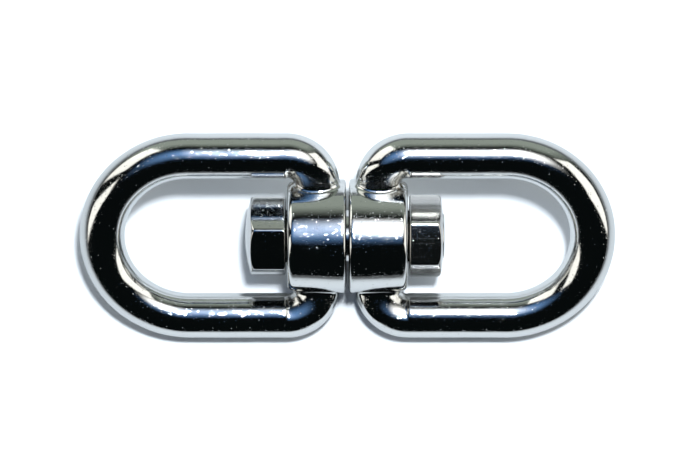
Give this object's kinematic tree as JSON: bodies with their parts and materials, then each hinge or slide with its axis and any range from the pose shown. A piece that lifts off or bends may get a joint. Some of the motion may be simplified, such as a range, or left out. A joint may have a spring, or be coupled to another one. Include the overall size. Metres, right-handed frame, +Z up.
{
  "type": "double-eye swivel",
  "caption": "Rigging swivel: cast bow-shaped eyes with barrel hubs that turn freely on a shouldered bolt, held by its hexagonal head and a crowned nut.",
  "frame": {"origin": "middle of the swivel, on the bolt's axis, halfway between the hubs", "axes": "+X along the bolt's axis from its head to its nut, +Z up with the swivel lying on a flat surface, +Y across; the rod of each eye on the +Y side is the raised one"},
  "size_m": [0.0922, 0.0352, 0.0196],
  "materials": {
    "eye_casting": "stainless casting polished to a mirror, rough as-cast skin left in the inner corners",
    "fastener_steel": "stainless bar stock, machined and polished, with fine scratches"
  },
  "bodies": {
    "left_eye": {"left_eye": "eye_casting"},
    "bolt_and_nut": {"swivel_bolt": "fastener_steel", "nut": "fastener_steel"},
    "right_eye": {"right_eye": "eye_casting"}
  },
  "joints": [
    {"name": "left_swivel", "type": "hinge", "parent": "left_eye", "child": "bolt_and_nut", "pos_m": [-0.00525, 0, 0], "axis": [1, 0, 0], "continuous": true},
    {"name": "right_swivel", "type": "hinge", "parent": "bolt_and_nut", "child": "right_eye", "pos_m": [0.00525, 0, 0], "axis": [1, 0, 0], "continuous": true}
  ]
}
